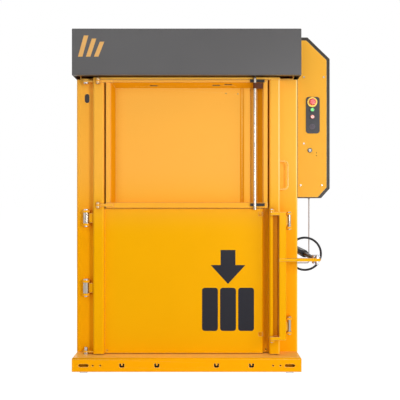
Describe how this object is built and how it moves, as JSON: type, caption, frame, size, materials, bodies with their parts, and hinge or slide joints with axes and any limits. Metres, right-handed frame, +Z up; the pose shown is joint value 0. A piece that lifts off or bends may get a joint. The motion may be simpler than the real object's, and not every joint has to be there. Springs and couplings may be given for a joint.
{
  "type": "recycling baler",
  "caption": "Upright recycling baler: hooded steel press frame, swing door with feed door, crossed cylinders on a platen, screw-clamped door lock and side control cabinet.",
  "frame": {"origin": "on the floor, at the centre of the four anchor holes", "axes": "+X to the right seen from the front, +Y to the back, +Z up"},
  "size_m": [1.534, 1.1, 1.985],
  "materials": {
    "frame_paint": "satin powder coat",
    "door_paint": "satin powder coat",
    "feed_paint": "satin powder coat",
    "graphite_paint": "satin powder coat",
    "control_paint": "satin powder coat",
    "zinc_steel": "zinc plated",
    "chrome_steel": "polished",
    "black_steel": "satin powder coat",
    "cylinder_paint": "satin powder coat",
    "platen_paint": "satin powder coat",
    "black_plastic": "moulded",
    "yellow_plastic": "moulded",
    "red_plastic": "moulded, glossy",
    "green_plastic": "moulded, glossy",
    "rose_plastic": "moulded, glossy"
  },
  "bodies": {
    "frame": {"base_frame": "frame_paint", "anchor_feet": "zinc_steel", "strap_channels": "zinc_steel", "chamber_floor": "frame_paint", "front_post_left": "frame_paint", "front_post_right": "frame_paint", "post_hole_plug": "black_plastic", "rear_posts": "frame_paint", "side_walls": "frame_paint", "back_wall": "frame_paint", "wall_ribs": "frame_paint", "top_rails": "frame_paint", "crosshead_beams": "frame_paint", "cylinder_pins": "zinc_steel", "platen_guides": "black_plastic", "hood": "graphite_paint", "door_hinge_ears": "frame_paint", "door_hinge_pins": "zinc_steel", "lock_keepers": "frame_paint", "keeper_pins": "chrome_steel", "screw_tube": "black_steel", "screw_bracket": "frame_paint", "cabinet_shell": "graphite_paint", "cabinet_cover": "frame_paint", "control_plate": "control_paint", "estop_collar": "yellow_plastic", "switch_bezels": "chrome_steel", "switch_conduit": "zinc_steel", "lock_switch_box": "frame_paint", "power_unit": "cylinder_paint"},
    "main_door": {"door_post_left": "door_paint", "door_post_right": "door_paint", "door_top_beam": "door_paint", "lower_panel": "door_paint", "door_inner_plate": "door_paint", "door_stiffeners": "door_paint", "door_hinge_knuckles": "door_paint", "pull_handle": "door_paint", "feed_hinge_pins": "zinc_steel", "lock_pivot_shaft": "zinc_steel"},
    "feed_door": {"feed_door_frame": "feed_paint", "feed_door_panel": "feed_paint", "feed_hinge_arms": "feed_paint", "latch_saddles": "black_plastic"},
    "latch": {"latch_rod": "chrome_steel", "latch_cam": "black_steel"},
    "door_lock": {"lock_bar": "door_paint", "lock_arm": "door_paint"},
    "thrust": {"thrust_block": "zinc_steel"},
    "wheel": {"handwheel": "black_steel", "lock_screw": "black_steel"},
    "platen": {"platen": "platen_paint"},
    "barrel_left": {"cylinder_barrel_left": "cylinder_paint"},
    "barrel_right": {"cylinder_barrel_right": "cylinder_paint"},
    "rod_left": {"cylinder_rod_left": "chrome_steel"},
    "rod_right": {"cylinder_rod_right": "chrome_steel"},
    "estop": {"estop_button": "red_plastic"},
    "start": {"start_button": "green_plastic"},
    "stop": {"stop_button": "rose_plastic"},
    "key": {"key_switch": "chrome_steel"}
  },
  "joints": [
    {"name": "main_door_swing", "type": "hinge", "parent": "frame", "child": "main_door", "pos_m": [-0.596, -0.445, 0.9], "axis": [0, 0, -1], "range_deg": [0, 115]},
    {"name": "feed_door_swing", "type": "hinge", "parent": "main_door", "child": "feed_door", "pos_m": [-0.52, -0.492, 1.3], "axis": [0, 0, -1], "range_deg": [0, 100]},
    {"name": "latch_turn", "type": "hinge", "parent": "feed_door", "child": "latch", "pos_m": [0.398, -0.492, 1.3], "axis": [0, 0, -1], "range_deg": [0, 90]},
    {"name": "door_lock_swing", "type": "hinge", "parent": "main_door", "child": "door_lock", "pos_m": [0.494, -0.506, 0.55], "axis": [0, 0, -1], "range_deg": [0, 100]},
    {"name": "handwheel_turn", "type": "hinge", "parent": "frame", "child": "wheel", "pos_m": [0.76, -0.05, 0.645], "axis": [0, 1, 0], "range_deg": [0, 1800]},
    {"name": "thrust_slide", "type": "slide", "parent": "frame", "child": "thrust", "axis": [0, 1, 0], "range_m": [0, 0.0401]},
    {"name": "platen_press", "type": "slide", "parent": "frame", "child": "platen", "axis": [0, 0, -1], "range_m": [0, 0.7]},
    {"name": "barrel_left_swing", "type": "hinge", "parent": "frame", "child": "barrel_left", "pos_m": [-0.47, -0.056, 1.837], "axis": [0, 1, 0], "range_deg": [0, 36.05]},
    {"name": "barrel_right_swing", "type": "hinge", "parent": "frame", "child": "barrel_right", "pos_m": [0.47, 0.056, 1.837], "axis": [0, -1, 0], "range_deg": [0, 36.05]},
    {"name": "rod_left_slide", "type": "slide", "parent": "barrel_left", "child": "rod_left", "axis": [0.9935, 0, -0.1142], "range_m": [0, 0.30628]},
    {"name": "rod_right_slide", "type": "slide", "parent": "barrel_right", "child": "rod_right", "axis": [-0.9935, 0, -0.1142], "range_m": [0, 0.30628]},
    {"name": "estop_press", "type": "slide", "parent": "frame", "child": "estop", "axis": [0, 1, 0], "range_m": [0, 0.004]},
    {"name": "start_press", "type": "slide", "parent": "frame", "child": "start", "axis": [0, 1, 0], "range_m": [0, 0.003], "stiffness_N_per_m": 800},
    {"name": "stop_press", "type": "slide", "parent": "frame", "child": "stop", "axis": [0, 1, 0], "range_m": [0, 0.003], "stiffness_N_per_m": 800},
    {"name": "key_turn", "type": "hinge", "parent": "frame", "child": "key", "pos_m": [0.741, -0.37, 1.296], "axis": [0, 1, 0], "range_deg": [0, 90]}
  ],
  "couplings": [
    {"joint": "thrust_slide", "follows": "handwheel_turn", "m_per_rad": 0.0012732},
    {"joint": "barrel_left_swing", "follows": "platen_press", "rad_per_m": 0.89867},
    {"joint": "barrel_right_swing", "follows": "platen_press", "rad_per_m": 0.89867},
    {"joint": "rod_left_slide", "follows": "platen_press", "ratio": 0.4374},
    {"joint": "rod_right_slide", "follows": "platen_press", "ratio": 0.4374}
  ]
}
